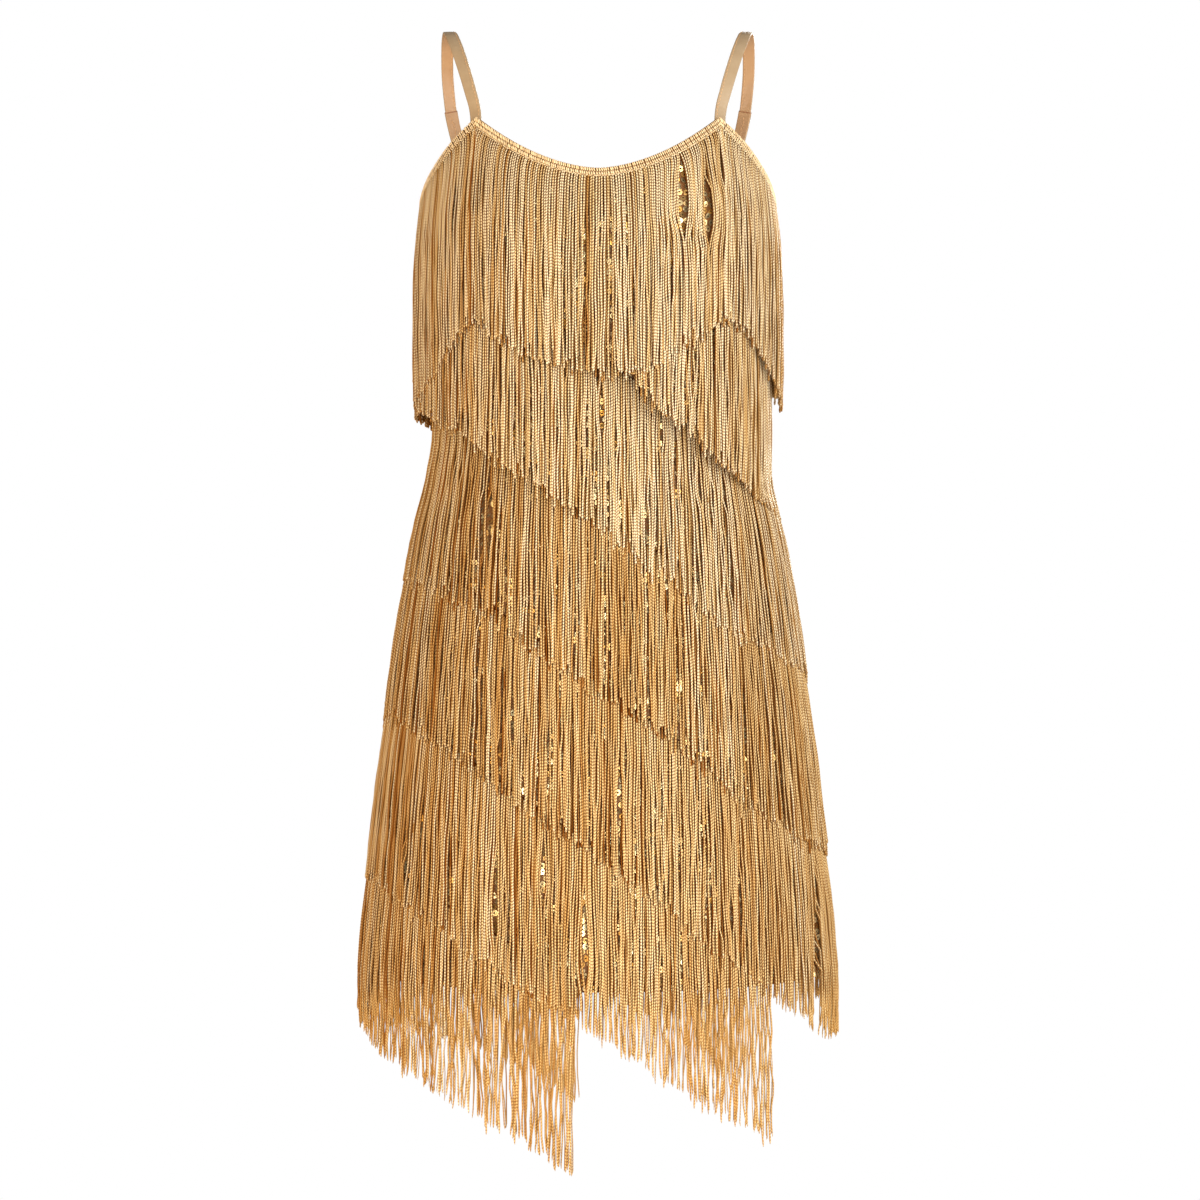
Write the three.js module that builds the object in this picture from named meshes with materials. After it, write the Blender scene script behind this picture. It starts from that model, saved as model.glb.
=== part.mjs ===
// A fringed latin dance dress, filled out as it is worn, with nobody in it.
// Millimetres. +X is the wearer's left, -Y is the front and +Z is up.
// The origin is midway between the tops of the two straps, where the shoulders carry the dress.
// Angles are in degrees round the body: 0 at the front centre, 90 at the wearer's left side seam,
// 180 at the back centre.
import * as THREE from 'three';

const CLOTH_THICKNESS = 1.6;
const SEAM_ANGLE = 0.09; // half of the 0.3 mm gap at a side seam, as an angle
const HEM_Z = -803;
const HEM_SIDE = 200;

const FRINGE_LENGTH = 150; // from the top of a tape to the ends of its strands
const BUST_FRINGE_LENGTH = 166;
const TAPE_HEIGHT = 10;
const TAPE_THICKNESS = 1.2;
const TAPE_CLEARANCE = 1;
const TRIM_RISE = 1; // the top trim stands this far above the cloth's edge
const BRAID_HEIGHT = 4.8; // a zigzag braid on the upper part of the trim
const BRAID_THICKNESS = 1.2;
const BRAID_GAP = 0.4;

const LOCK_PITCH = 22.5;
const LOCK_SHARE = 0.8; // of the pitch, the rest is the gap between two locks
const LOCK_THICKNESS = 1.6;
const LOCK_TAPER = 0.15;
const TIER_STATIONS = [1 / 3, 2 / 3, 1]; // shares of a lock's length at which it bends
const BUST_STATIONS = [0.12, 0.35, 0.68, 1];
const LOCK_UNEVENNESS = 4;
const TIER_LIFT = 4; // how far the ends stand off the cloth, over the next tape
const BUST_LIFT = 8;

const STRAP_WIDTH = 10.5;
const TAB_WIDTH = 12;
const STRAP_THICKNESS = 2;
const STRAP_JOIN_Z = -58; // the seam in the back leg of each strap
const STRAP_JOIN_GAP = 0.3;
const STRAP_STEPS = 20;
const TAB_STEPS = 6;

// The outer face of the cloth: half width and the depths forward and back of the middle
const BODY_SECTIONS = [
  { z: HEM_Z, side: HEM_SIDE, front: 141, back: 149 },
  { z: -745, side: 195.5, front: 136, back: 144 },
  { z: -660, side: 186.5, front: 129, back: 137 },
  { z: -600, side: 179.5, front: 122, back: 131 },
  { z: -530, side: 170.5, front: 115, back: 124 },
  { z: -480, side: 163, front: 109, back: 115 },
  { z: -430, side: 154, front: 102, back: 101 },
  { z: -385, side: 143, front: 95, back: 88 },
  { z: -345, side: 137.5, front: 93, back: 81 },
  { z: -310, side: 138, front: 96, back: 82 },
  { z: -270, side: 142, front: 105, back: 88 },
  { z: -230, side: 148, front: 115, back: 93 },
  { z: -185, side: 151, front: 116, back: 96 },
  { z: -140, side: 149, front: 107, back: 96 },
  { z: -110, side: 146, front: 99, back: 94.5 },
  { z: -80, side: 143.5, front: 92, back: 92 },
];

// The top edge is a scoop between the straps, in front and behind, and an armhole on each side
const FRONT_SCOOP = { lowest: -136.5, highest: -87.5, strapAngle: 43.5, curve: 1.75 };
const BACK_SCOOP = { lowest: -150, highest: -128, strapAngle: 131, curve: 1.75 };
const ARMHOLE = [
  { angle: FRONT_SCOOP.strapAngle, z: FRONT_SCOOP.highest },
  { angle: 56, z: -106 },
  { angle: 70, z: -128 },
  { angle: 84, z: -146 },
  { angle: 98, z: -154 },
  { angle: 114, z: -148 },
  { angle: BACK_SCOOP.strapAngle, z: BACK_SCOOP.highest },
];

// Each tier's tape lies in a slanting plane: its top is at height - slope * x.
// startX and endX are where a tape starts or ends short of a side seam, at the top trim or the hem.
const TIERS = [
  { name: 'a', height: -135, slope: 0.876, frontStartX: 30, backStartX: 44 },
  { name: 'b', height: -286, slope: 0.706 },
  { name: 'c', height: -414, slope: 0.711 },
  { name: 'd', height: -555, slope: 0.726 },
  { name: 'e', height: -688, slope: 0.675, frontEndX: 130, backEndX: 130 },
  { name: 'f', height: -801.6, slope: 0.535, frontEndX: -17, backEndX: -17 },
];

// The middle of the left strap, from inside the front point over the shoulder to inside the back.
// turn is the way that its width faces, in degrees from +X.
const STRAP_PATH = [
  { x: 97.6, y: -66.2, z: -97, turn: 31 },
  { x: 97, y: -64.7, z: -87.5, turn: 31 },
  { x: 99.8, y: -62.4, z: -77, turn: 29 },
  { x: 105, y: -59, z: -65, turn: 25 },
  { x: 112, y: -51, z: -44, turn: 18 },
  { x: 119.5, y: -38, z: -21, turn: 10 },
  { x: 125.5, y: -20, z: -6, turn: 4 },
  { x: 128.5, y: 2, z: -1, turn: 0 },
  { x: 131, y: 24, z: -7, turn: -6 },
  { x: 132, y: 41, z: -26, turn: -14 },
  { x: 130.3, y: 51, z: -52, turn: -22 },
  { x: 124.5, y: 57, z: -82, turn: -30 },
  { x: 116.6, y: 59.4, z: -108, turn: -35 },
  { x: 109.6, y: 59.7, z: -127, turn: -37 },
  { x: 109.3, y: 59.9, z: -137, turn: -37 },
];

const LEVEL_COUNT = 19;
const LEVEL_TOP_Z = -171; // the highest level row, just under the armholes
const LEVEL_STEP = (LEVEL_TOP_Z - HEM_Z) / LEVEL_COUNT;
const TOP_ROWS = 5;

const radians = THREE.MathUtils.degToRad;
const lerp = THREE.MathUtils.lerp;

// A smooth curve through a table's rows that never overshoots them, with rows in rising order of key
function smoothTable(rows, key, value, at) {
  const last = rows.length - 1;
  if (at <= rows[0][key]) return rows[0][value];
  if (at >= rows[last][key]) return rows[last][value];
  const i = rows.findIndex((row) => row[key] > at) - 1;
  const rise = (k) => (rows[k + 1][value] - rows[k][value]) / (rows[k + 1][key] - rows[k][key]);
  const slopeAt = (k) => {
    if (k === 0) return rise(0);
    if (k === last) return rise(last - 1);
    const before = rise(k - 1);
    const after = rise(k);
    return before * after <= 0 ? 0 : (2 * before * after) / (before + after);
  };
  const span = rows[i + 1][key] - rows[i][key];
  const t = (at - rows[i][key]) / span;
  const t2 = t * t;
  const t3 = t2 * t;
  return (2 * t3 - 3 * t2 + 1) * rows[i][value] + (t3 - 2 * t2 + t) * span * slopeAt(i)
    + (3 * t2 - 2 * t3) * rows[i + 1][value] + (t3 - t2) * span * slopeAt(i + 1);
}

// The body's size at a height, straight between the level rows as the cloth's own rows are
function sectionAt(z) {
  const exact = (key, at) => smoothTable(BODY_SECTIONS, 'z', key, at);
  const step = Math.floor((Math.max(z, HEM_Z) - HEM_Z) / LEVEL_STEP);
  const low = HEM_Z + step * LEVEL_STEP;
  const share = (Math.max(z, HEM_Z) - low) / LEVEL_STEP;
  const size = (key) => (z >= LEVEL_TOP_Z ? exact(key, z)
    : lerp(exact(key, low), exact(key, low + LEVEL_STEP), share));
  return { side: size('side'), front: size('front'), back: size('back') };
}

// The widest section between a root and a lower height, which a strand hangs down from
function hangingSection(rootZ, z) {
  const widest = { ...sectionAt(rootZ) };
  const levels = Array.from({ length: LEVEL_COUNT + 1 }, (_, k) => HEM_Z + k * LEVEL_STEP);
  for (const level of [...levels.filter((l) => l < rootZ && l > z), z]) {
    const section = sectionAt(level);
    for (const key of Object.keys(widest)) widest[key] = Math.max(widest[key], section[key]);
  }
  return widest;
}

function pointOn(section, angle, z, out) {
  const a = radians(angle);
  const depth = Math.cos(a) > 0 ? section.front : section.back;
  return new THREE.Vector3((section.side + out) * Math.sin(a), -(depth + out) * Math.cos(a), z);
}

const bodyPoint = (angle, z, out) => pointOn(sectionAt(z), angle, z, out);

function scoop({ lowest, highest, curve }, share) {
  return lowest + (highest - lowest) * share ** curve;
}

// The height of the cloth's top edge
function topEdge(angle) {
  const fromFront = Math.abs(((angle + 180) % 360) - 180);
  const spread = (a) => Math.sin(radians(a));
  if (fromFront < FRONT_SCOOP.strapAngle) {
    return scoop(FRONT_SCOOP, spread(fromFront) / spread(FRONT_SCOOP.strapAngle));
  }
  if (fromFront > BACK_SCOOP.strapAngle) {
    return scoop(BACK_SCOOP, spread(fromFront) / spread(BACK_SCOOP.strapAngle));
  }
  return smoothTable(ARMHOLE, 'angle', 'z', fromFront);
}

// Evenly spaced angles through a list of stops, with the given number of cells in each stretch
function anglesThrough(stops, cells) {
  const angles = [stops[0]];
  cells.forEach((count, i) => {
    for (let k = 1; k <= count; k += 1) angles.push(lerp(stops[i], stops[i + 1], k / count));
  });
  return angles;
}

// A closed mesh from its points and triangles, turned so that its faces point out
function closedGeometry(points, faces) {
  let volume = 0;
  for (const [a, b, c] of faces) {
    volume += points[a].dot(new THREE.Vector3().crossVectors(points[b], points[c]));
  }
  const turned = volume < 0 ? faces.map(([a, b, c]) => [a, c, b]) : faces;
  const geometry = new THREE.BufferGeometry();
  geometry.setAttribute('position', new THREE.Float32BufferAttribute(
    points.flatMap((p) => p.toArray()), 3));
  geometry.setIndex(turned.flat());
  geometry.computeVertexNormals();
  return geometry;
}

const quad = (a, b, c, d) => [[a, b, c], [a, c, d]];

// A wall over a grid of columns and rows: pointAt(column, row, inner) gives its two faces
function wallGeometry(columns, rows, pointAt) {
  const points = [];
  const faces = [];
  for (const inner of [false, true]) {
    for (let i = 0; i < columns; i += 1) {
      for (let j = 0; j < rows; j += 1) points.push(pointAt(i, j, inner));
    }
  }
  const id = (i, j, inner) => (inner ? columns * rows : 0) + i * rows + j;
  for (let i = 0; i < columns - 1; i += 1) {
    for (let j = 0; j < rows - 1; j += 1) {
      faces.push(...quad(id(i, j), id(i + 1, j), id(i + 1, j + 1), id(i, j + 1)));
      faces.push(...quad(id(i, j + 1, true), id(i + 1, j + 1, true), id(i + 1, j, true), id(i, j, true)));
    }
  }
  for (let i = 0; i < columns - 1; i += 1) {
    const top = rows - 1;
    faces.push(...quad(id(i, 0, true), id(i + 1, 0, true), id(i + 1, 0), id(i, 0)));
    faces.push(...quad(id(i, top), id(i + 1, top), id(i + 1, top, true), id(i, top, true)));
  }
  for (let j = 0; j < rows - 1; j += 1) {
    const end = columns - 1;
    faces.push(...quad(id(0, j), id(0, j + 1), id(0, j + 1, true), id(0, j, true)));
    faces.push(...quad(id(end, j, true), id(end, j + 1, true), id(end, j + 1), id(end, j)));
  }
  return closedGeometry(points, faces);
}

function clothPanel(angles) {
  const heights = (angle) => {
    const list = Array.from({ length: LEVEL_COUNT + 1 }, (_, k) => HEM_Z + k * LEVEL_STEP);
    for (let k = 1; k <= TOP_ROWS; k += 1) list.push(lerp(LEVEL_TOP_Z, topEdge(angle), k / TOP_ROWS));
    return list;
  };
  const columns = angles.map(heights);
  return wallGeometry(angles.length, columns[0].length, (i, j, inner) => (
    bodyPoint(angles[i], columns[i][j], inner ? -CLOTH_THICKNESS : 0)));
}

// The top of a slanting tape at an angle, found by stepping because the body's width varies with height
function tapeTop(tier, angle) {
  let z = tier.height;
  for (let k = 0; k < 12; k += 1) z = tier.height - tier.slope * sectionAt(z).side * Math.sin(radians(angle));
  return z;
}

// The angle from the front or back centre line at which a tape reaches a given x
function angleAtX(tier, x) {
  return THREE.MathUtils.radToDeg(Math.asin(x / sectionAt(tier.height - tier.slope * x).side));
}

// Splits a stretch of tape into locks and gaps: a list of cells with their two angles
function fringeCells(from, to, heightAt) {
  const steps = 40;
  let length = 0;
  for (let k = 0; k < steps; k += 1) {
    const a = lerp(from, to, k / steps);
    const b = lerp(from, to, (k + 1) / steps);
    const chord = bodyPoint(a, heightAt(a), 0).sub(bodyPoint(b, heightAt(b), 0));
    length += Math.hypot(chord.x, chord.y);
  }
  const count = Math.round(length / LOCK_PITCH);
  const pitch = (to - from) / count;
  const cells = [];
  for (let k = 0; k < count; k += 1) {
    const middle = from + (k + 0.5) * pitch;
    const left = middle - (pitch * LOCK_SHARE) / 2;
    const right = middle + (pitch * LOCK_SHARE) / 2;
    cells.push({ left: from + k * pitch, right: left, lock: false });
    cells.push({ left, right, lock: true });
    cells.push({ left: right, right: from + (k + 1) * pitch, lock: false });
  }
  return cells;
}

// A tape with its locks: one closed comb. heightAt gives the tape's top, lift how far the ends stand off.
function fringeGeometry(cells, heightAt, { tapeHeight, length, lift, stations }) {
  const points = [];
  const faces = [];
  const add = (p) => points.push(p) - 1;
  const edges = [cells[0].left, ...cells.map((c) => c.right)];
  const columns = edges.map((angle) => {
    const top = heightAt(angle);
    const bottom = top - tapeHeight;
    const outer = TAPE_CLEARANCE + TAPE_THICKNESS;
    return {
      bottom,
      topOuter: add(bodyPoint(angle, top, outer)),
      topInner: add(bodyPoint(angle, top, TAPE_CLEARANCE)),
      lowOuter: add(bodyPoint(angle, bottom, outer)),
      lowInner: add(bodyPoint(angle, bottom, TAPE_CLEARANCE)),
    };
  });
  const lockRing = (cell, left, right, share, drop) => {
    const middle = (cell.left + cell.right) / 2;
    const inner = TAPE_CLEARANCE + lift * (1 - (1 - share) ** 3);
    const outer = inner + lerp(TAPE_THICKNESS, LOCK_THICKNESS, share);
    const corner = (angle, column, out) => {
      const z = column.bottom - share * drop;
      const section = hangingSection(column.bottom, z);
      const narrow = (sectionAt(column.bottom).side / section.side) * (1 - LOCK_TAPER * share);
      return add(pointOn(section, middle + (angle - middle) * narrow, z, out));
    };
    return [
      corner(cell.left, left, outer), corner(cell.right, right, outer),
      corner(cell.right, right, inner), corner(cell.left, left, inner),
    ];
  };
  cells.forEach((cell, i) => {
    const left = columns[i];
    const right = columns[i + 1];
    faces.push(...quad(left.lowOuter, right.lowOuter, right.topOuter, left.topOuter));
    faces.push(...quad(left.topOuter, right.topOuter, right.topInner, left.topInner));
    faces.push(...quad(left.lowInner, left.topInner, right.topInner, right.lowInner));
    if (!cell.lock) {
      faces.push(...quad(left.lowInner, right.lowInner, right.lowOuter, left.lowOuter));
      return;
    }
    const drop = length - tapeHeight - LOCK_UNEVENNESS * (0.5 + 0.5 * Math.sin(i * 2.4));
    let ring = [left.lowOuter, right.lowOuter, right.lowInner, left.lowInner];
    for (const share of stations) {
      const next = lockRing(cell, left, right, share, drop);
      for (let k = 0; k < 4; k += 1) {
        const n = (k + 1) % 4;
        faces.push(...quad(ring[n], ring[k], next[k], next[n]));
      }
      ring = next;
    }
    faces.push(...quad(ring[3], ring[2], ring[1], ring[0]));
  });
  const first = columns[0];
  const last = columns[columns.length - 1];
  faces.push(...quad(first.lowInner, first.lowOuter, first.topOuter, first.topInner));
  faces.push(...quad(last.topInner, last.topOuter, last.lowOuter, last.lowInner));
  return closedGeometry(points, faces);
}

// The trim round the top edge with the long fringe that hangs from it
function bustFringe(stops) {
  const heightAt = (angle) => topEdge(angle) + TRIM_RISE;
  const cells = stops.slice(1).flatMap((stop, i) => fringeCells(stops[i], stop, heightAt));
  return fringeGeometry(cells, heightAt, {
    tapeHeight: TAPE_HEIGHT + TRIM_RISE,
    length: BUST_FRINGE_LENGTH,
    lift: BUST_LIFT,
    stations: BUST_STATIONS,
  });
}

// The braid sewn over the top of the trim
function edgeBraid(angles) {
  const inside = TAPE_CLEARANCE + TAPE_THICKNESS + BRAID_GAP;
  return wallGeometry(angles.length, 2, (i, j, inner) => {
    const z = topEdge(angles[i]) + TRIM_RISE - (1 - j) * BRAID_HEIGHT;
    return bodyPoint(angles[i], z, inner ? inside : inside + BRAID_THICKNESS);
  });
}

function tierFringe(tier, from, to) {
  const heightAt = (angle) => tapeTop(tier, angle);
  return fringeGeometry(fringeCells(from, to, heightAt), heightAt, {
    tapeHeight: TAPE_HEIGHT, length: FRINGE_LENGTH, lift: TIER_LIFT, stations: TIER_STATIONS,
  });
}

// A flat band along a stretch of the strap's curve; mirror is -1 for the wearer's right
function bandGeometry(curve, turnAt, from, to, steps, width, mirror) {
  const points = [];
  const faces = [];
  for (let k = 0; k <= steps; k += 1) {
    const u = lerp(from, to, k / steps);
    const middle = curve.getPointAt(u);
    const along = curve.getTangentAt(u);
    const turn = radians(turnAt(u));
    const across = new THREE.Vector3(Math.cos(turn), Math.sin(turn), 0);
    across.addScaledVector(along, -across.dot(along)).normalize();
    const up = new THREE.Vector3().crossVectors(along, across);
    for (const [w, t] of [[-1, -1], [1, -1], [1, 1], [-1, 1]]) {
      const p = middle.clone().addScaledVector(across, (w * width) / 2);
      p.addScaledVector(up, (t * STRAP_THICKNESS) / 2);
      p.x *= mirror;
      points.push(p);
    }
    if (k === 0) continue;
    for (let side = 0; side < 4; side += 1) {
      const n = (side + 1) % 4;
      const base = (k - 1) * 4;
      faces.push(...quad(base + side, base + n, base + 4 + n, base + 4 + side));
    }
  }
  const end = steps * 4;
  faces.push(...quad(3, 2, 1, 0), ...quad(end, end + 1, end + 2, end + 3));
  return closedGeometry(points, faces);
}

const strapCurve = new THREE.CatmullRomCurve3(
  STRAP_PATH.map(({ x, y, z }) => new THREE.Vector3(x, y, z)), false, 'centripetal');

// The width's turn at a share of the strap's length, from the path row nearest in the same order
function strapTurn(u) {
  const t = strapCurve.getUtoTmapping(u) * (STRAP_PATH.length - 1);
  const i = Math.min(Math.floor(t), STRAP_PATH.length - 2);
  return lerp(STRAP_PATH[i].turn, STRAP_PATH[i + 1].turn, t - i);
}

// The share of the strap's length at which its back leg comes down to the join
function strapJoin() {
  let low = 0.5;
  let high = 1;
  for (let k = 0; k < 40; k += 1) {
    const middle = (low + high) / 2;
    if (strapCurve.getPointAt(middle).z > STRAP_JOIN_Z) low = middle;
    else high = middle;
  }
  return low;
}

const sequinCloth = new THREE.MeshStandardMaterial({ color: 0xa9783a, roughness: 0.35, metalness: 0.5 });
const goldFringe = new THREE.MeshStandardMaterial({ color: 0xd4a765, roughness: 0.5, metalness: 0 });
const goldBraid = new THREE.MeshStandardMaterial({ color: 0xdcb27c, roughness: 0.4, metalness: 0.2 });
const strapSatin = new THREE.MeshStandardMaterial({ color: 0xe0b98c, roughness: 0.45, metalness: 0 });

const dress = new THREE.Group();

function addPiece(name, geometry, material) {
  const mesh = new THREE.Mesh(geometry, material);
  mesh.name = name;
  dress.add(mesh);
}

const sideFront = 90 - SEAM_ANGLE;
const sideBack = 90 + SEAM_ANGLE;
const { strapAngle: frontStrap } = FRONT_SCOOP;
const { strapAngle: backStrap } = BACK_SCOOP;
const frontStops = [-sideFront, -frontStrap, frontStrap, sideFront];
const backStops = [sideBack, backStrap, 360 - backStrap, 360 - sideBack];

addPiece('front_panel', clothPanel(anglesThrough(frontStops, [6, 12, 6])), sequinCloth);
addPiece('back_panel', clothPanel(anglesThrough(backStops, [5, 12, 5])), sequinCloth);
addPiece('bust_fringe_front', bustFringe(frontStops), goldFringe);
addPiece('bust_fringe_back', bustFringe(backStops), goldFringe);
addPiece('edge_braid_front', edgeBraid(anglesThrough(frontStops, [8, 16, 8])), goldBraid);
addPiece('edge_braid_back', edgeBraid(anglesThrough(backStops, [7, 16, 7])), goldBraid);

for (const tier of TIERS) {
  const { frontStartX, backStartX, frontEndX, backEndX } = tier;
  const frontFrom = frontStartX === undefined ? -sideFront : angleAtX(tier, frontStartX);
  const frontTo = frontEndX === undefined ? sideFront : angleAtX(tier, frontEndX);
  const backFrom = backEndX === undefined ? sideBack : 180 - angleAtX(tier, backEndX);
  const backTo = backStartX === undefined ? 360 - sideBack : 180 - angleAtX(tier, backStartX);
  addPiece(`tier_${tier.name}_front`, tierFringe(tier, frontFrom, frontTo), goldFringe);
  addPiece(`tier_${tier.name}_back`, tierFringe(tier, backFrom, backTo), goldFringe);
}

const joinShare = strapJoin();
const tabShare = joinShare + STRAP_JOIN_GAP / strapCurve.getLength();
for (const [side, mirror] of [['left', 1], ['right', -1]]) {
  addPiece(`strap_${side}`,
    bandGeometry(strapCurve, strapTurn, 0, joinShare, STRAP_STEPS, STRAP_WIDTH, mirror), strapSatin);
  addPiece(`strap_tab_${side}`,
    bandGeometry(strapCurve, strapTurn, tabShare, 1, TAB_STEPS, TAB_WIDTH, mirror), strapSatin);
}

export default dress;
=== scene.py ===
# The looks of a fringed latin dance dress, in metres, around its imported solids.
# +X is the wearer's left, -Y is the front and +Z is up.
# The origin lies midway between the strap tops.
# Angles are in degrees round the body: 0 at the front centre, 90 at the wearer's left side seam.
import math

import bpy
from mathutils import Matrix
import numpy as np


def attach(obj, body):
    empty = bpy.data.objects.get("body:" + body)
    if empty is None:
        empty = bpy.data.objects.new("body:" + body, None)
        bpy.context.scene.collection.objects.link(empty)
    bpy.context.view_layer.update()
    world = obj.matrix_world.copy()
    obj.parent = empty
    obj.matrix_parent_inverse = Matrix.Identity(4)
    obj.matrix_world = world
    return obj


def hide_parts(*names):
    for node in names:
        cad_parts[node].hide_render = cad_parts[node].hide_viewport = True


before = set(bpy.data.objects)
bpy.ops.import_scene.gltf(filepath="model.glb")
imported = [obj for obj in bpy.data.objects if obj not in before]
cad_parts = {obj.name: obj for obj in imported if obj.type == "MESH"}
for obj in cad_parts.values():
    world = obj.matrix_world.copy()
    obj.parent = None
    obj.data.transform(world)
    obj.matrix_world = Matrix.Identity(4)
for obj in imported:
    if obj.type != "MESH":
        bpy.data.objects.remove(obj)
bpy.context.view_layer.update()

MM = 0.001
SEED = 7

CLOTH_THICKNESS = 1.6 * MM
SEAM_ANGLE = 0.09
HEM_Z = -803 * MM
TAPE_CLEARANCE = 1.0 * MM
TAPE_THICKNESS = 1.2 * MM
TAPE_HEIGHT = 10 * MM
TRIM_RISE = 1.0 * MM

FRINGE_LENGTH = 154 * MM
BUST_FRINGE_LENGTH = 167 * MM
BUST_HEADER_HEIGHT = 8 * MM
ROOT_DROP = 1 * MM  # how far below a tape's top its cords start
BUST_ROOT_DROP = 6.2 * MM
LENGTH_SCATTER = 2.6 * MM
SHORT_SHARE, SHORT_BY = 0.16, (3, 11)  # how many cords are cut short, and by how many mm
LONG_SHARE, LONG_BY = 0.05, (3, 8)
STRAY_SCATTER = 0.42 * MM  # how far a cord's end strays along the tape
OUT_SCATTER = 0.45 * MM
RINGS = 14  # how many rings shape an outer cord
LOW_RINGS = 16  # the same in the tiers that reach below the hem
CORD_HALF_WIDTH = 0.9 * MM
CORD_HALF_DEPTH = 0.85 * MM
CORD_LINK = 2.5 * MM  # one stitch of the cord's chain
TIER_LIFT = 2.3 * MM
BUST_LIFT = 4.5 * MM
ROOT_BEND = 6 * MM  # how far a bust cord stands square to the trim before it hangs
SIDE_LIGHT = 0.45  # how far the painted shade on the cords' sides gives way to painted light at the side seams
OVERHANG_PRESS = 0.8 * MM  # how far the two top fringes' tips lie in towards the waist
HEM_FADE = 25 * MM  # how far below the hem the cords' sides fade from painted shade to painted through-light
HEM_DARKENING = 0.12  # how much darker the outer cords are there
LOW_LEAN = 2.4 * MM  # how far the lowest cords lean to one side, as a scatter
LOW_LEAN_HEIGHT = 90 * MM
PARTING_PUSH = 0.62  # how much of a parting's width each side is pushed by
PARTING_REACH = 1.6  # how many of its widths the push dies away over

STITCH_PITCH = 1.8 * MM
STITCH_RADIUS = 0.52 * MM
STITCH_WIDENING = 1.32  # how much wider than deep a stitch is
STITCH_ROWS = MM * np.array([(-0.3, 2.9), (3.1, 5.9)])  # from and to, below the trim's top
RIDGE_DROP = 6.6 * MM
RIDGE_RADIUS = 0.75 * MM
BRAID_LIFT = 0.7 * MM
SEQUIN_RADIUS = 2.75 * MM
SEQUIN_LIFT = 0.6 * MM
SEQUIN_TIP = 14  # how far the sequins tip, in degrees, as a scatter
SEQUIN_SIDES = 7
SEQUIN_PITCH = 5.5 * MM
SEQUIN_ROW = 4.9 * MM

STRAP_WIDTH = 10.5 * MM
TAB_WIDTH = 12 * MM
STRAP_THICKNESS = 2 * MM
STRAP_CROWN = 0.25 * MM
STRAP_BEVEL = 0.55 * MM
STRAP_JOIN_Z = -58 * MM
STRAP_JOIN_GAP = 0.3 * MM
STRAP_STITCH_PITCH = 3.1 * MM

PANEL_COLUMNS = 96
PANEL_ROWS = 64
FLOOR_RADIUS = 1.4
FLOOR_Z = -1.42

# The outer face of the cloth: height, half width, depth forward and back of the middle
BODY_SECTIONS = MM * np.array([
    (-803, 200, 141, 149),
    (-745, 195.5, 136, 144),
    (-660, 186.5, 129, 137),
    (-600, 179.5, 122, 131),
    (-530, 170.5, 115, 124),
    (-480, 163, 109, 115),
    (-430, 154, 102, 101),
    (-385, 143, 95, 88),
    (-345, 137.5, 93, 81),
    (-310, 138, 96, 82),
    (-270, 142, 105, 88),
    (-230, 148, 115, 93),
    (-185, 151, 116, 96),
    (-140, 149, 107, 96),
    (-110, 146, 99, 94.5),
    (-80, 143.5, 92, 92),
])

# The top edge: a scoop between the straps in front and behind, and an armhole on each side
FRONT_SCOOP = {"lowest": -136.5 * MM, "highest": -87.5 * MM, "strap_angle": 43.5, "curve": 1.75}
BACK_SCOOP = {"lowest": -150 * MM, "highest": -128 * MM, "strap_angle": 131, "curve": 1.75}
ARMHOLE = np.array([
    (FRONT_SCOOP["strap_angle"], FRONT_SCOOP["highest"]),
    (56, -106 * MM),
    (70, -128 * MM),
    (84, -146 * MM),
    (98, -154 * MM),
    (114, -148 * MM),
    (BACK_SCOOP["strap_angle"], BACK_SCOOP["highest"]),
])

# Each tier's tape lies in a slanting plane with its top at height - slope * x.
# The start and end give where a tape starts or ends short of a side seam.
TIERS = [
    {"name": "a", "height": -135 * MM, "slope": 0.876,
     "front_start_x": 30 * MM, "back_start_x": 44 * MM},
    {"name": "b", "height": -286 * MM, "slope": 0.706},
    {"name": "c", "height": -414 * MM, "slope": 0.711},
    {"name": "d", "height": -555 * MM, "slope": 0.726},
    {"name": "e", "height": -688 * MM, "slope": 0.675,
     "front_end_x": 138 * MM, "back_end_x": 130 * MM},
    {"name": "f", "height": -801.6 * MM, "slope": 0.535,
     "front_end_x": -17 * MM, "back_end_x": -17 * MM},
]

# Where a fringe hangs longer or shorter than its cut: place across and difference, in mm
LONGER = {
    "bust_front": [(-152, 4), (-143, 15), (-134, 19), (-119, 12), (-106, 10), (-91, 1), (-20, 0),
                   (12, 7), (36, 7), (60, 0), (125, 0), (140, 4), (150, 8)],
    "bust_back": [(-150, -13), (-120, -2), (120, -2), (150, -9)],
    "b_front": [(-150, -9), (-75, -11), (-25, -13), (10, -7), (70, -2), (120, 8), (150, 13),
                (185, 17)],
    "c_front": [(-150, -4), (40, -4), (80, 0), (120, 7), (150, 12), (190, 16)],
    "d_front": [(-200, -13), (0, -12), (60, -8), (118, 0), (145, 9), (175, 14), (200, 4)],
    "e_front": [(-30, -3), (60, -5)],
    "f_front": [(-204, -46), (-192, -24), (-178, -2), (-160, 1), (-135, 0), (-70, -3), (-50, 0),
                (-17, 3)],
}

# How pale each fringe's cords are (partly their own tone, partly painted light that dims lower
# down the dress), and how unlike each other
SHADE = {"bust": 0.88, "a": 0.86, "b": 0.88, "c": 0.63, "d": 0.63, "e": 0.62, "f": 0.61}
SCATTER = {"bust": 0.17, "a": 0.17, "b": 0.17, "c": 0.13, "d": 0.1, "e": 0.09, "f": 0.09}
RIGHT_SCATTER = 0.11  # how much more unlike they are towards the wearer's right
SHADE_BANDS = (0.06, 19 * MM)  # broad paler and darker bands along a tape
SHADE_WAVE = (30, 80, 0.08)  # paler and darker lengths of a cord
PALE_END = 0.08

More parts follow.
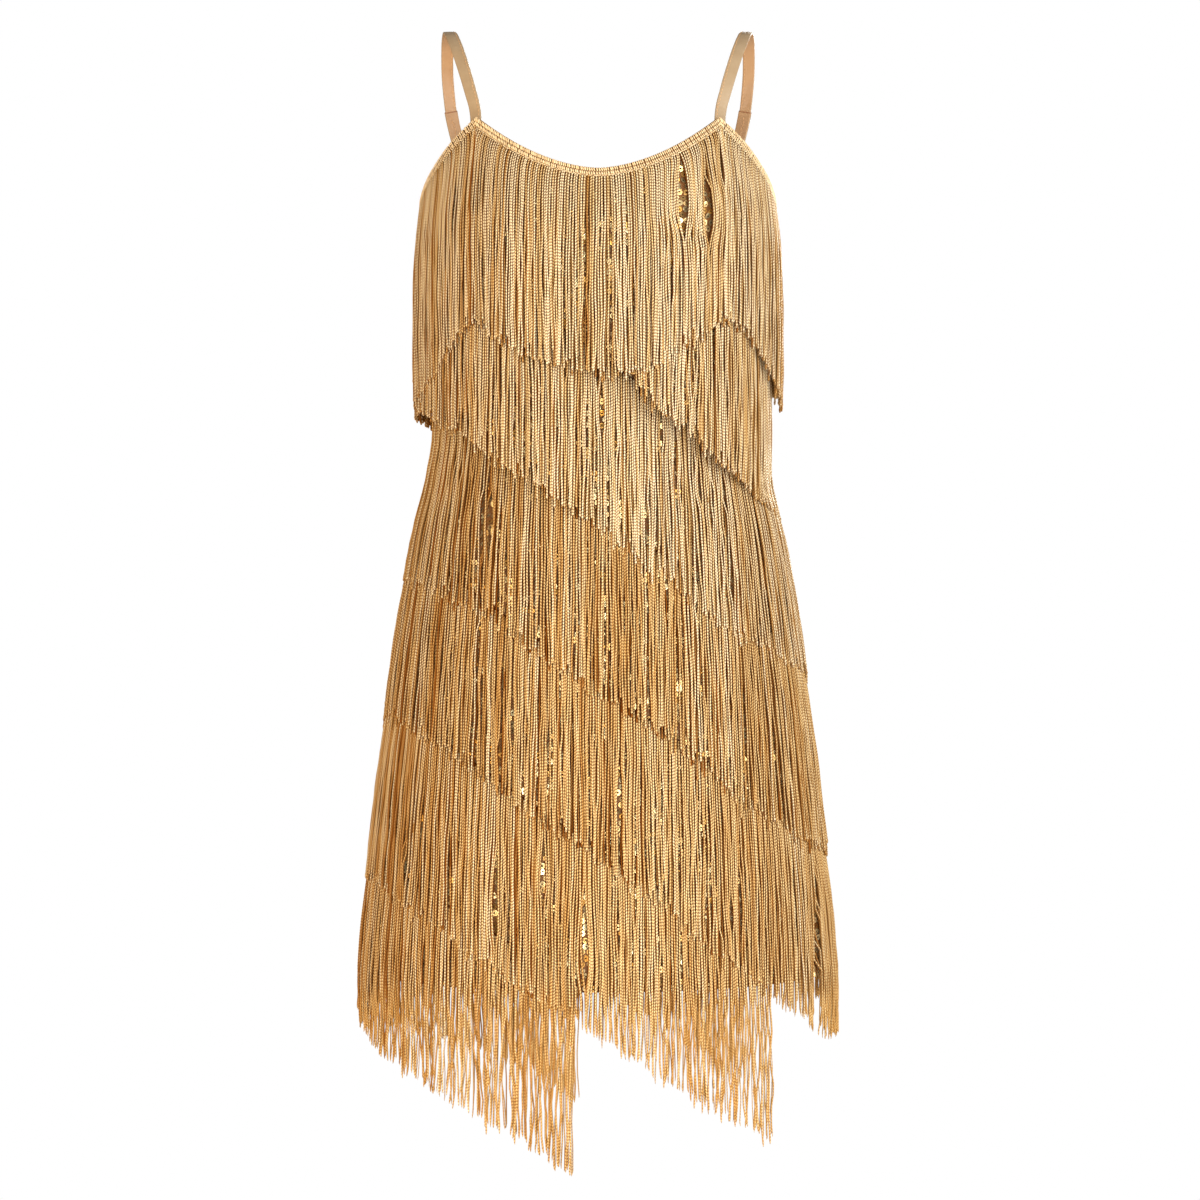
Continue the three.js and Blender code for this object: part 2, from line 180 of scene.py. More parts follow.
# The middle of the left strap and the way that its width faces, in degrees from +X
STRAP_PATH = np.array([
    (101.8, -63.6, -97, 31),
    (101.8, -62.4, -87.5, 31),
    (102.9, -60.8, -77, 29),
    (106, -58.5, -65, 25),
    (112, -51, -44, 18),
    (119.5, -38, -21, 10),
    (125.5, -20, -6, 4),
    (128.5, 2, -1, 0),
    (131, 24, -7, -6),
    (132, 41, -26, -14),
    (130.3, 51, -52, -22),
    (124.5, 57, -82, -30),
    (116.6, 59.4, -108, -35),
    (109.6, 59.7, -127, -37),
    (109.3, 59.9, -137, -37),
])

# Where the cords in front hang apart and the sequins show: middle, highest, lowest and width
PARTINGS = MM * np.array([
    (65, -114, -188, 8),
    (83, -120, -197, 7.5),
    (97, -96, -150, 4.5),
    (-93, -372, -486, 3.5),
    (75, -280, -322, 3),
    (51, -332, -366, 3),
    (81, -366, -412, 3.5),
    (3, -306, -352, 3),
    (-80, -684, -766, 4.5),
    (-43, -676, -730, 3),
    (-155, -660, -720, 3),
    (-11, -712, -800, 4.5),
    (179, -690, -864, 10),
])

# Smaller partings, scattered over the front at random
SMALL_PARTINGS = 85

# The cords' two layers: spacing, how far out they hang, sides of a cord, share of the rings,
# shade (painted shade: the inner layer is darkened as though in the outer layer's shadow), and how
# much thinner the cords are below the hem
LAYERS = [
    {"pitch": 2.75 * MM, "out": 1.9 * MM, "sides": 4, "rings": 0.55,
     "shade": -0.56, "thinning": 0.42},
    {"pitch": 2.0 * MM, "out": 3.1 * MM, "sides": 6, "rings": 1.0,
     "shade": 0.0, "thinning": 0.18},
]

# Neighbouring cords gather and part: wave length along the tape and how far the ends stray
CLUMPS = MM * np.array([
    (7.9, 0.5),
    (13.3, 0.7),
    (27, 0.9),
    (63, 1.3),
])

# The waves along a cord, in mm: shortest, longest, how far they go, and how much further they
# go below the hem
SIDEWAYS_WAVES = [
    (60, 150, 0.5, 0.5),
    (20, 42, 0.14, 0.22),
]
OUTWARD_WAVE = (35, 90, 0.3, 0.5)

# How wide a cord is at its last three rings, where it ends in a knob and where it is cut off
KNOB = (1.3, 1.25, 0.6)
CUT_TIP = (0.85, 0.7, 0.3)


def smooth_column(keys, values, at):
    """A smooth curve through rising keys that never overshoots their values."""
    at = np.clip(at, keys[0], keys[-1])
    rises = np.diff(values) / np.diff(keys)
    before, after = rises[:-1], rises[1:]
    same_way = before * after > 0
    total = np.where(same_way, before + after, 1)
    inner = np.where(same_way, 2 * before * after / total, 0)
    slopes = np.concatenate([rises[:1], inner, rises[-1:]])
    i = np.clip(np.searchsorted(keys, at, side="right") - 1, 0, len(keys) - 2)
    span = keys[i + 1] - keys[i]
    t = (at - keys[i]) / span
    low = (2 * t**3 - 3 * t**2 + 1) * values[i] + (t**3 - 2 * t**2 + t) * span * slopes[i]
    high = (3 * t**2 - 2 * t**3) * values[i + 1] + (t**3 - t**2) * span * slopes[i + 1]
    return low + high


def section_at(z):
    """Half width, depth forward and depth back of the cloth at heights z."""
    keys = BODY_SECTIONS[:, 0]
    return [smooth_column(keys, BODY_SECTIONS[:, k], z) for k in (1, 2, 3)]


def point_on(section, angle, z, out):
    """Points standing out from the cloth, for arrays of angles, heights and distances."""
    side, front, back = section
    a = np.radians(angle)
    depth = np.where(np.cos(a) > 0, front, back)
    return np.stack([(side + out) * np.sin(a), -(depth + out) * np.cos(a), z + 0 * a], axis=-1)


def body_point(angle, z, out):
    return point_on(section_at(z), angle, z, out)


def directions_at(angle):
    """Unit vectors along the body and straight out of it, lying level."""
    a = np.radians(angle)
    zero = np.zeros_like(a)
    along = np.stack([np.cos(a), np.sin(a), zero], axis=-1)
    out = np.stack([np.sin(a), -np.cos(a), zero], axis=-1)
    return along, out


def top_edge(angle):
    """The height of the cloth's top edge."""
    from_front = np.abs((np.asarray(angle) + 180) % 360 - 180)
    spread = np.sin(np.radians(from_front))

    def scoop(kind):
        share = np.clip(spread / math.sin(math.radians(kind["strap_angle"])), 0, 1)
        return kind["lowest"] + (kind["highest"] - kind["lowest"]) * share ** kind["curve"]

    armhole = smooth_column(ARMHOLE[:, 0], ARMHOLE[:, 1], from_front)
    edge = np.where(from_front < FRONT_SCOOP["strap_angle"], scoop(FRONT_SCOOP), armhole)
    return np.where(from_front > BACK_SCOOP["strap_angle"], scoop(BACK_SCOOP), edge)


def trim_top(angle):
    return top_edge(angle) + TRIM_RISE


def body_radius(section, angle):
    """How far the cloth runs level for each radian round the body."""
    side, front, back = section
    a = np.radians(angle)
    depth = np.where(np.cos(a) > 0, front, back)
    return np.hypot(side * np.cos(a), depth * np.sin(a))


def trim_slope(angle):
    """How steeply the trim rises along the body, evened out over its corners."""
    reach = 2.2
    radius = body_radius(section_at(trim_top(angle)), angle)
    return (trim_top(angle + reach) - trim_top(angle - reach)) / (radius * math.radians(2 * reach))


def below_trim(angle, drop):
    """The angle and height of points square below the trim's top."""
    slope = trim_slope(angle)
    steep = np.hypot(1, slope)
    radius = body_radius(section_at(trim_top(angle)), angle)
    return angle + np.degrees(drop * slope / steep / radius), trim_top(angle) - drop / steep


def tape_top(tier):
    """The function that gives the height of a slanting tape's top at an angle."""
    def height(angle):
        z = np.full_like(np.asarray(angle, float), tier["height"])
        for _ in range(12):
            z = tier["height"] - tier["slope"] * section_at(z)[0] * np.sin(np.radians(angle))
        return z
    return height


def angle_at_x(tier, x):
    z = tier["height"] - tier["slope"] * x
    return math.degrees(math.asin(x / float(section_at(np.array(z))[0])))


def deselect_all():
    for selected in bpy.context.selected_objects:
        selected.select_set(False)


class Finish:
    """A material's nodes, with short calls for the kinds used here."""

    def __init__(self, name):
        self.material = bpy.data.materials.new(name)
        self.material.use_nodes = True
        self.tree = self.material.node_tree
        self.shader = self.tree.nodes["Principled BSDF"]

    def node(self, kind, **settings):
        made = self.tree.nodes.new(kind)
        for key, value in settings.items():
            setattr(made, key, value)
        return made

    def feed(self, socket, value):
        if isinstance(value, bpy.types.NodeSocket):
            self.tree.links.new(value, socket)
        else:
            socket.default_value = value

    def calc(self, operation, *values):
        made = self.node("ShaderNodeMath", operation=operation)
        for socket, value in zip(made.inputs, values):
            self.feed(socket, value)
        return made.outputs[0]

    def wave(self, value, turns):
        return self.calc("SINE", self.calc("MULTIPLY", value, turns))

    def from_middle(self, share):
        """How far a share lies from its middle: 0 there and 1 at both ends."""
        twice = self.calc("MULTIPLY", share, 2.0)
        return self.calc("ABSOLUTE", self.calc("SUBTRACT", twice, 1.0))

    def uv(self):
        split = self.node("ShaderNodeSeparateXYZ")
        self.feed(split.inputs[0], self.node("ShaderNodeUVMap", uv_map="UVMap").outputs[0])
        return split.outputs[0], split.outputs[1]

    def place(self):
        return self.node("ShaderNodeTexCoord").outputs["Object"]

    def attribute(self, name):
        return self.node("ShaderNodeAttribute", attribute_name=name).outputs["Fac"]

    def noise(self, vector, scale, detail=2.0):
        made = self.node("ShaderNodeTexNoise")
        self.feed(made.inputs["Vector"], vector)
        self.feed(made.inputs["Scale"], scale)
        self.feed(made.inputs["Detail"], detail)
        return made.outputs[0]

    def ramp(self, factor, stops):
        made = self.node("ShaderNodeValToRGB")
        points = made.color_ramp.elements
        while len(points) < len(stops):
            points.new(0.5)
        for point, (position, colour) in zip(points, stops):
            point.position = position
            point.color = (*colour, 1)
        self.feed(made.inputs[0], factor)
        return made.outputs[0]

    def mix(self, factor, first, second, blend="MIX"):
        made = self.node("ShaderNodeMix", data_type="RGBA", blend_type=blend)
        self.feed(made.inputs["Factor"], factor)
        for socket, colour in ((made.inputs[6], first), (made.inputs[7], second)):
            self.feed(socket, colour if isinstance(colour, bpy.types.NodeSocket) else (*colour, 1))
        return made.outputs[2]

    def span(self, value, low, high, start=0.0, stop=1.0):
        """The value's range from start to stop, laid over low to high."""
        made = self.node("ShaderNodeMapRange")
        for socket, setting in zip(made.inputs, (value, start, stop, low, high)):
            self.feed(socket, setting)
        return made.outputs[0]

    def bump(self, height, strength, distance):
        made = self.node("ShaderNodeBump")
        made.inputs["Strength"].default_value = strength
        made.inputs["Distance"].default_value = distance
        self.feed(made.inputs["Height"], height)
        self.feed(self.shader.inputs["Normal"], made.outputs[0])

    def set(self, **values):
        for key, value in values.items():
            self.feed(self.shader.inputs[key.replace("_", " ")], value)


def cord_finish():
    """Lustrous chain-knit cord: a V in each stitch, a tone per cord, painted shade in creases and
    sides.
    """
    finish = Finish("chainette_cord")
    around, links = finish.uv()
    turn = finish.wave(links, 0.05)
    turned = finish.calc("FRACT", finish.calc("ADD", around, finish.calc("MULTIPLY", turn, 0.3)))
    fold = finish.from_middle(turned)
    phase = finish.calc("ADD", links, finish.calc("MULTIPLY", fold, 0.8))
    stitch = finish.wave(phase, 2 * math.pi)
    raised = finish.span(stitch, 0.0, 1.0, start=-1.0)
    tone = finish.attribute("tone")
    colour = finish.ramp(tone, [
        (0.0, (0.21, 0.068, 0.008)),
        (0.35, (0.54, 0.315, 0.10)),
        (0.7, (0.73, 0.54, 0.26)),
        (1.0, (0.87, 0.75, 0.50)),
    ])
    # Painted shade in the creases between the chain's stitches.
    crease = finish.mix(0.85, colour, (0.14, 0.04, 0.004))
    knit = finish.mix(raised, crease, colour)
    # Painted shade: each cord's sides are painted dark, as if shaded by its neighbours; where lit
    # is high, at the side seams and below the hem, a paler painted through-light takes its place.
    outer = finish.calc("ABSOLUTE", finish.wave(around, 2 * math.pi))
    outer = finish.span(outer, 0.0, 1.0, start=0.38, stop=0.93)
    lit = finish.attribute("lit")
    painted_through_light = finish.mix(0.7, knit, (0.36, 0.18, 0.045))
    edge = finish.mix(lit, (0.075, 0.015, 0.001), painted_through_light)
    finish.set(Base_Color=finish.mix(outer, edge, knit))
    dull = finish.calc("ADD", finish.span(raised, 0.46, 0.3), finish.span(outer, 0.5, 0.0))
    lustre = finish.calc("MULTIPLY", finish.span(outer, 0.05, 0.6), finish.span(tone, 0.1, 1.0))
    finish.set(Roughness=dull, Specular_IOR_Level=lustre)
    finish.shader.inputs["Specular Tint"].default_value = (1.0, 0.78, 0.5, 1.0)
    finish.bump(raised, 0.7, 0.4 * MM)
    return finish.material


def header_finish():
    """The knitted band that the cords hang from: short ribs across it."""
    finish = Finish("knitted_header")
    along, across = finish.uv()
    rib = finish.wave(along, 2 * math.pi)
    row = finish.wave(across, 2 * math.pi)
    weave = finish.calc("MULTIPLY_ADD", rib, 0.5, 0.5)
    knit = finish.calc("MULTIPLY", weave, finish.calc("MULTIPLY_ADD", row, 0.25, 0.5))
    grain = finish.noise(finish.place(), 900.0)
    depth = finish.calc("ADD", knit, finish.calc("MULTIPLY", grain, 0.4))
    # Darkest in the knit's hollows: painted shade. The band's dark brown is partly its own colour
    # and partly painted shade under the cords and stitches.
    finish.set(Base_Color=finish.mix(depth, (0.07, 0.025, 0.006), (0.24, 0.11, 0.03)))
    finish.set(Roughness=finish.span(weave, 0.7, 0.5))
    finish.bump(weave, 0.6, 0.4 * MM)
    return finish.material


def braid_finish():
    """The pale twisted thread of the edge's slanted stitches."""
    finish = Finish("edge_braid_thread")
    around, along = finish.uv()
    twist = finish.wave(finish.calc("ADD", around, along), 2 * math.pi)
    shine = finish.span(twist, 0.0, 1.0, start=-1.0)
    tone = finish.attribute("tone")
    pale = finish.mix(tone, (0.62, 0.44, 0.23), (0.80, 0.64, 0.41))
    # Paler along each twist's ridge and darker in its grooves: painted highlight and painted
    # shade.
    finish.set(Base_Color=finish.mix(shine, finish.mix(0.3, pale, (0.45, 0.23, 0.08)), pale))
    finish.set(Roughness=finish.span(shine, 0.5, 0.36))
    finish.bump(shine, 0.4, 0.2 * MM)
    return finish.material


def sequin_finish():
    """Gold foil discs with a small dark hole, each tinted a little differently."""
    finish = Finish("sequin_foil")
    across, up = finish.uv()
    dx = finish.calc("SUBTRACT", across, 0.5)
    dy = finish.calc("SUBTRACT", up, 0.5)
    squares = finish.calc("ADD", finish.calc("MULTIPLY", dx, dx), finish.calc("MULTIPLY", dy, dy))
    radius = finish.calc("SQRT", squares)
    hole = finish.calc("LESS_THAN", radius, 0.13)
    tint = finish.mix(finish.attribute("tone"), (0.84, 0.44, 0.09), (1.0, 0.86, 0.5))
    # The hole is painted near black: partly the ground seen through it, partly painted shade.
    finish.set(Base_Color=finish.mix(hole, tint, (0.05, 0.02, 0.005)))
    foil = finish.span(finish.noise(finish.place(), 160.0), 0.26, 0.46)
    finish.set(Roughness=finish.calc("ADD", finish.calc("MULTIPLY", hole, 0.5), foil))
    finish.set(Metallic=finish.span(hole, 0.85, 0.0))
    finish.set(Specular_IOR_Level=finish.span(hole, 0.6, 0.05))
    finish.bump(finish.wave(radius, 24.0), 0.3, 0.15 * MM)
    return finish.material


def ground_finish():
    """The brown-gold knit ground under the sequins."""
    finish = Finish("sequin_ground_knit")
    along, up = finish.uv()
    wale = finish.wave(along, 520 * math.pi)
    course = finish.wave(up, 700 * math.pi)
    mesh = finish.calc("MULTIPLY", wale, course)
    depth = finish.span(mesh, 0.1, 1.0)
    # Darker in the knit's hollows: painted shade.
    finish.set(Base_Color=finish.mix(depth, (0.13, 0.042, 0.006), (0.33, 0.135, 0.03)))
    finish.set(Roughness=finish.span(finish.noise(finish.place(), 300.0), 0.5, 0.75))
    finish.bump(mesh, 0.4, 0.3 * MM)
    return finish.material


def lining_finish():
    """The plain inside: a smooth tan lining with a fine rib and broad soft creases."""
    finish = Finish("tan_lining")
    along, up = finish.uv()
    rib = finish.wave(along, 900 * math.pi)
    crease = finish.noise(finish.place(), 14.0, 3.0)
    # The colour follows the creases' height, so their hollows are darker: painted shade.
    colour = finish.ramp(crease, [
        (0.25, (0.40, 0.23, 0.10)),
        (0.55, (0.52, 0.32, 0.155)),
        (0.8, (0.60, 0.39, 0.20)),
    ])
    from_hem_row = finish.calc("ABSOLUTE", finish.calc("SUBTRACT", up, 0.022))
    hem_row = finish.calc("MULTIPLY", finish.calc("LESS_THAN", from_hem_row, 0.0012), 0.6)
    finish.set(Base_Color=finish.mix(hem_row, colour, (0.25, 0.12, 0.04)))
    finish.set(Roughness=finish.span(crease, 0.42, 0.6))
    ribs, creases = finish.calc("MULTIPLY", rib, 0.04), finish.calc("MULTIPLY", crease, 2.0)
    finish.bump(finish.calc("ADD", ribs, creases), 0.5, 1.0 * MM)
    return finish.material


def satin_finish(name, dark, pale):
    """Strap satin: a fine twill with soft lengthwise shading."""
    finish = Finish(name)
    along, across = finish.uv()
    slant = finish.calc("ADD", finish.calc("MULTIPLY", along, 34.0), across)
    twill = finish.wave(slant, 18 * math.pi)
    cloud = finish.noise(finish.place(), 60.0, 3.0)
    # Painted shade: the band is darker towards both long edges.
    edge_shade = finish.calc("POWER", finish.from_middle(across), 3.0)
    colour = finish.mix(finish.span(cloud, 0.0, 1.0), dark, pale)
    finish.set(Base_Color=finish.mix(finish.calc("MULTIPLY", edge_shade, 0.35), colour, dark))
    finish.set(Roughness=finish.span(twill, 0.36, 0.46))
    finish.bump(finish.calc("ADD", twill, finish.calc("MULTIPLY", cloud, 4.0)), 0.25, 0.2 * MM)
    return finish.material


CORD = cord_finish()
HEADER = header_finish()
BRAID = braid_finish()
SEQUIN = sequin_finish()
GROUND = ground_finish()
LINING = lining_finish()
SATIN = satin_finish("strap_satin", (0.26, 0.174, 0.094), (0.365, 0.277, 0.182))
SATIN_BACK = satin_finish("strap_satin_underside", (0.30, 0.17, 0.085), (0.44, 0.27, 0.145))
THREAD = satin_finish("strap_thread", (0.45, 0.25, 0.11), (0.62, 0.38, 0.20))
TURN = satin_finish("strap_turned_end", (0.22, 0.09, 0.035), (0.34, 0.16, 0.07))


def tube_part(rings, along, tone, material=0, lit=0.0):
    """Closed tubes from an array of rings: tube, ring, corner, xyz.

    The corners of a ring turn right-handed round the path.
    """
    tubes, count, sides = rings.shape[:3]
    index = np.arange(tubes * count * sides).reshape(tubes, count, sides)
    after = np.roll(index, -1, axis=2)
    quads = np.stack([index[:, :-1], after[:, :-1], after[:, 1:], index[:, 1:]], axis=-1)
    around = np.broadcast_to(np.arange(sides) / sides, (tubes, count - 1, sides))
    near = np.broadcast_to(along[:, :-1, None], around.shape)
    far = np.broadcast_to(along[:, 1:, None], around.shape)
    u = np.stack([around, around + 1 / sides, around + 1 / sides, around], axis=-1)
    v = np.stack([near, near, far, far], axis=-1)
    caps = np.concatenate([index[:, 0, ::-1], index[:, -1]])
    cap_u = np.broadcast_to(np.arange(sides) / sides, caps.shape)
    cap_v = np.repeat(np.concatenate([along[:, 0], along[:, -1]])[:, None], sides, axis=1)
    quad_uv = np.stack([u, v], axis=-1).reshape(-1, 2)
    cap_uv = np.stack([cap_u, cap_v], axis=-1).reshape(-1, 2)
    return {
        "points": rings.reshape(-1, 3),
        "faces": [quads.reshape(-1, 4), caps],
        "uv": [quad_uv, cap_uv],
        "tone": np.repeat(np.broadcast_to(tone, (tubes, count)).ravel(), sides),
        "lit": np.repeat(np.broadcast_to(lit, (tubes, count)).ravel(), sides),
        "material": material,
    }


def disc_part(points, tone):
    """Flat discs from an array: disc, corner, xyz."""
    count, sides = points.shape[:2]
    turn = 2 * math.pi * np.arange(sides) / sides
    disc_uv = 0.5 + 0.5 * np.stack([np.cos(turn), np.sin(turn)], axis=-1)
    return {
        "points": points.reshape(-1, 3),
        "faces": [np.arange(count * sides).reshape(count, sides)],
        "uv": [np.tile(disc_uv, (count, 1))],
        "tone": np.repeat(tone, sides),
        "lit": np.zeros(count * sides),
        "material": 0,
    }


def joined_piece(name, parts, materials):
    """One mesh from several parts, with UVs and, for each point, its tone and how much painted
    light it gets.
    """
    corners, sizes, uvs, slots, start = [], [], [], [], 0
    for part in parts:
        for faces, uv in zip(part["faces"], part["uv"]):
            corners.append((faces + start).ravel())
            sizes.append(np.full(len(faces), faces.shape[1]))
            slots.append(np.full(len(faces), part["material"]))
            uvs.append(uv)
        start += len(part["points"])
    corners, sizes, slots, uvs = (np.concatenate(x) for x in (corners, sizes, slots, uvs))
    mesh = bpy.data.meshes.new(name)
    mesh.vertices.add(start)
    mesh.vertices.foreach_set("co", np.concatenate([p["points"] for p in parts]).ravel())
    mesh.loops.add(len(corners))
    mesh.loops.foreach_set("vertex_index", corners)
    mesh.polygons.add(len(sizes))
    mesh.polygons.foreach_set("loop_start", np.concatenate([[0], np.cumsum(sizes)[:-1]]))
    mesh.polygons.foreach_set("material_index", slots)
    mesh.polygons.foreach_set("use_smooth", np.ones(len(sizes), bool))
    mesh.uv_layers.new(name="UVMap").data.foreach_set("uv", uvs.ravel())
    for shade in ("tone", "lit"):
        values = mesh.attributes.new(shade, "FLOAT", "POINT")
        values.data.foreach_set("value", np.concatenate([p[shade] for p in parts]))
    mesh.update(calc_edges=True)
    for material in materials:
        mesh.materials.append(material)
    piece = bpy.data.objects.new(name, mesh)
    bpy.context.scene.collection.objects.link(piece)
    return piece


def shaped_grid(name, columns, rows, place):
    """A grid primitive laid on the form that place gives for arrays of shares across and up."""
    deselect_all()
    bpy.ops.mesh.primitive_grid_add(x_subdivisions=columns, y_subdivisions=rows, size=1)
    piece = bpy.context.active_object
    piece.name = name
    flat = np.empty(len(piece.data.vertices) * 3)
    piece.data.vertices.foreach_get("co", flat)
    flat = flat.reshape(-1, 3) + 0.5
    piece.data.vertices.foreach_set("co", place(flat[:, 0], flat[:, 1]).ravel())
    piece.data.update()
    return piece


def apply_modifier(piece, kind, **settings):
    bpy.context.view_layer.objects.active = piece
    modifier = piece.modifiers.new(kind.lower(), kind)
    for key, value in settings.items():
        setattr(modifier, key, value)
    bpy.ops.object.modifier_apply(modifier=modifier.name)


def finish_piece(piece, slot, *nodes):
    if nodes:
        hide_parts(*nodes)
    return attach(piece, "root")


def seam_stops(side):
    """The angles at a panel's side seams and strap points, from one seam to the other."""
    strap = {"front": FRONT_SCOOP, "back": BACK_SCOOP}[side]["strap_angle"]
    if side == "front":
        return [SEAM_ANGLE - 90, -strap, strap, 90 - SEAM_ANGLE]
    return [90 + SEAM_ANGLE, strap, 360 - strap, 270 - SEAM_ANGLE]


def make_panel(side):
    """A panel of the dress: sequin ground outside, lining inside."""
    def place(across, up):
        angle = np.interp(across, [0, 0.25, 0.75, 1], seam_stops(side))
        z = HEM_Z + (top_edge(angle) - HEM_Z) * up
        return body_point(angle, z, 0.0)

    panel = shaped_grid(f"cloth_{side}", PANEL_COLUMNS, PANEL_ROWS, place)
    panel.data.materials.append(GROUND)
    panel.data.materials.append(LINING)
    apply_modifier(panel, "SOLIDIFY", thickness=CLOTH_THICKNESS, offset=-1.0, material_offset=1)
    panel.data.shade_smooth()
    return finish_piece(panel, "sequin_cloth", f"{side}_panel")


def make_sequins(side):
    """Rows of sequins over a panel, each tipped a little at random."""
    rng = np.random.default_rng([SEED, 1, side == "front"])
    stops = seam_stops(side)
    angles, heights = [], []
    rows = int((BODY_SECTIONS[-1, 0] - HEM_Z) / SEQUIN_ROW)
    for row in range(rows):
        z = HEM_Z + SEQUIN_RADIUS + row * SEQUIN_ROW
        half, front, back = section_at(np.array(z))
        girth = math.pi * math.sqrt((half**2 + (front if side == "front" else back) ** 2) / 2)
        count = int(girth / SEQUIN_PITCH)
        at = stops[0] + (stops[3] - stops[0]) * (np.arange(count) + 0.5 + 0.5 * (row % 2)) / count
        at = at[(z < top_edge(at) - SEQUIN_RADIUS) & (at < stops[3] - 1)]
        angles.append(at)
        heights.append(np.full(len(at), z))
    angles, heights = np.concatenate(angles), np.concatenate(heights)
    heights += rng.normal(0, 0.25 * MM, len(heights))
    centres = body_point(angles, heights, SEQUIN_LIFT)
    below = body_point(angles, heights - 1 * MM, SEQUIN_LIFT)
    along, _ = directions_at(angles)
    up = centres - below
    up /= np.linalg.norm(up, axis=1, keepdims=True)
    out = np.cross(along, up)
    tip = rng.normal(0, math.radians(SEQUIN_TIP), (len(angles), 2))
    across_dir = along + out * tip[:, :1]
    up_dir = up + out * tip[:, 1:]
    turn = 2 * math.pi * np.arange(SEQUIN_SIDES) / SEQUIN_SIDES
    discs = centres[:, None] + SEQUIN_RADIUS * (
        across_dir[:, None] * np.cos(turn)[:, None] + up_dir[:, None] * np.sin(turn)[:, None])
    parts = [disc_part(discs, rng.uniform(0, 1, len(angles)))]
    return finish_piece(joined_piece(f"sequins_{side}", parts, [SEQUIN]), "sequin_cloth")


def spaced_angles(start, stop, top, pitch, rng, sloping=False):
    """Angles at an even spacing round the body, and how far along each lies."""
    fine = np.linspace(start, stop, 900)
    line = body_point(fine, top(fine), 0.0)
    steps = np.linalg.norm(np.diff(line[:, : 3 if sloping else 2], axis=0), axis=1)
    travelled = np.concatenate([[0], np.cumsum(steps)])
    count = int(travelled[-1] / pitch)
    at = (np.arange(count) + 0.5 + rng.uniform(-0.2, 0.2, count)) * travelled[-1] / count
    return np.interp(at, travelled, fine), at


def plumb_angles(root_angles, side):
    """Where cords hang: straight down near the middle, and along the skirt at its sides."""
    sine = np.sin(np.radians(root_angles))
    hang = (side[:, :1] / side) ** (0.85 * (1 - np.abs(sine) ** 2.5))
    turn = np.degrees(np.arcsin(np.clip(sine * hang, -1, 1)))
    return np.where(np.cos(np.radians(root_angles)) >= 0, turn, 180 - turn)


def all_partings():
    """The partings in the table, then the small ones."""
    rng = np.random.default_rng([SEED, 5])
    high = rng.uniform(-780, -150, SMALL_PARTINGS)
    half_width = np.interp(high, [-780, -400, -150], [185, 145, 125])
    middle = rng.uniform(-0.84, 0.84, SMALL_PARTINGS) * half_width
    low = high - rng.uniform(22, 75, SMALL_PARTINGS)
    width = rng.uniform(1.2, 2.4, SMALL_PARTINGS)
    return np.concatenate([PARTINGS, MM * np.stack([middle, high, low, width], axis=1)])


def parting_shift(x, z):
    """How far the front cords are pushed aside at the partings."""
    shift = np.zeros_like(x)
    for middle, high, low, width in ALL_PARTINGS:
        share = np.clip((z - low) / (high - low), 0, 1)
        window = np.sin(math.pi * share**0.62)
        away = x - middle
        fading = np.exp(-np.abs(away) / (PARTING_REACH * width))
        shift += PARTING_PUSH * width * np.sign(away) * fading * window
    return shift


ALL_PARTINGS = all_partings()


def cord_shares(count, bust):
    """Where a cord's rings lie along it: close at a bent root, then even, and close at the end."""
    root = [0.0, 0.01, 0.022, 0.038, 0.06] if bust else [0.0]
    body = np.linspace(root[-1], 0.975, count)
    return np.concatenate([root, body[1:], [0.982, 0.99, 1.0]])


def cord_lengths(angles, travelled, top, length, kind, rng):
    """Each cord's length: uneven, with some cords short, a few long and the changes in LONGER."""
    count = len(angles)
    lengths = length + rng.normal(0, LENGTH_SCATTER, count)
    lengths += (1.3 * MM * np.sin(travelled / (9 * MM))
                + 1.6 * MM * np.sin(travelled / (23 * MM) + 1))
    luck = rng.uniform(0, 1, count)
    lengths -= np.where(luck < SHORT_SHARE, rng.uniform(*SHORT_BY, count), 0) * MM
    lengths += np.where(luck > 1 - LONG_SHARE, rng.uniform(*LONG_BY, count), 0) * MM
    if kind in LONGER:
        across = section_at(top(angles))[0] * np.sin(np.radians(angles))
        places, changes = MM * np.array(LONGER[kind]).T
        lengths += np.interp(across, places, changes)
    return lengths


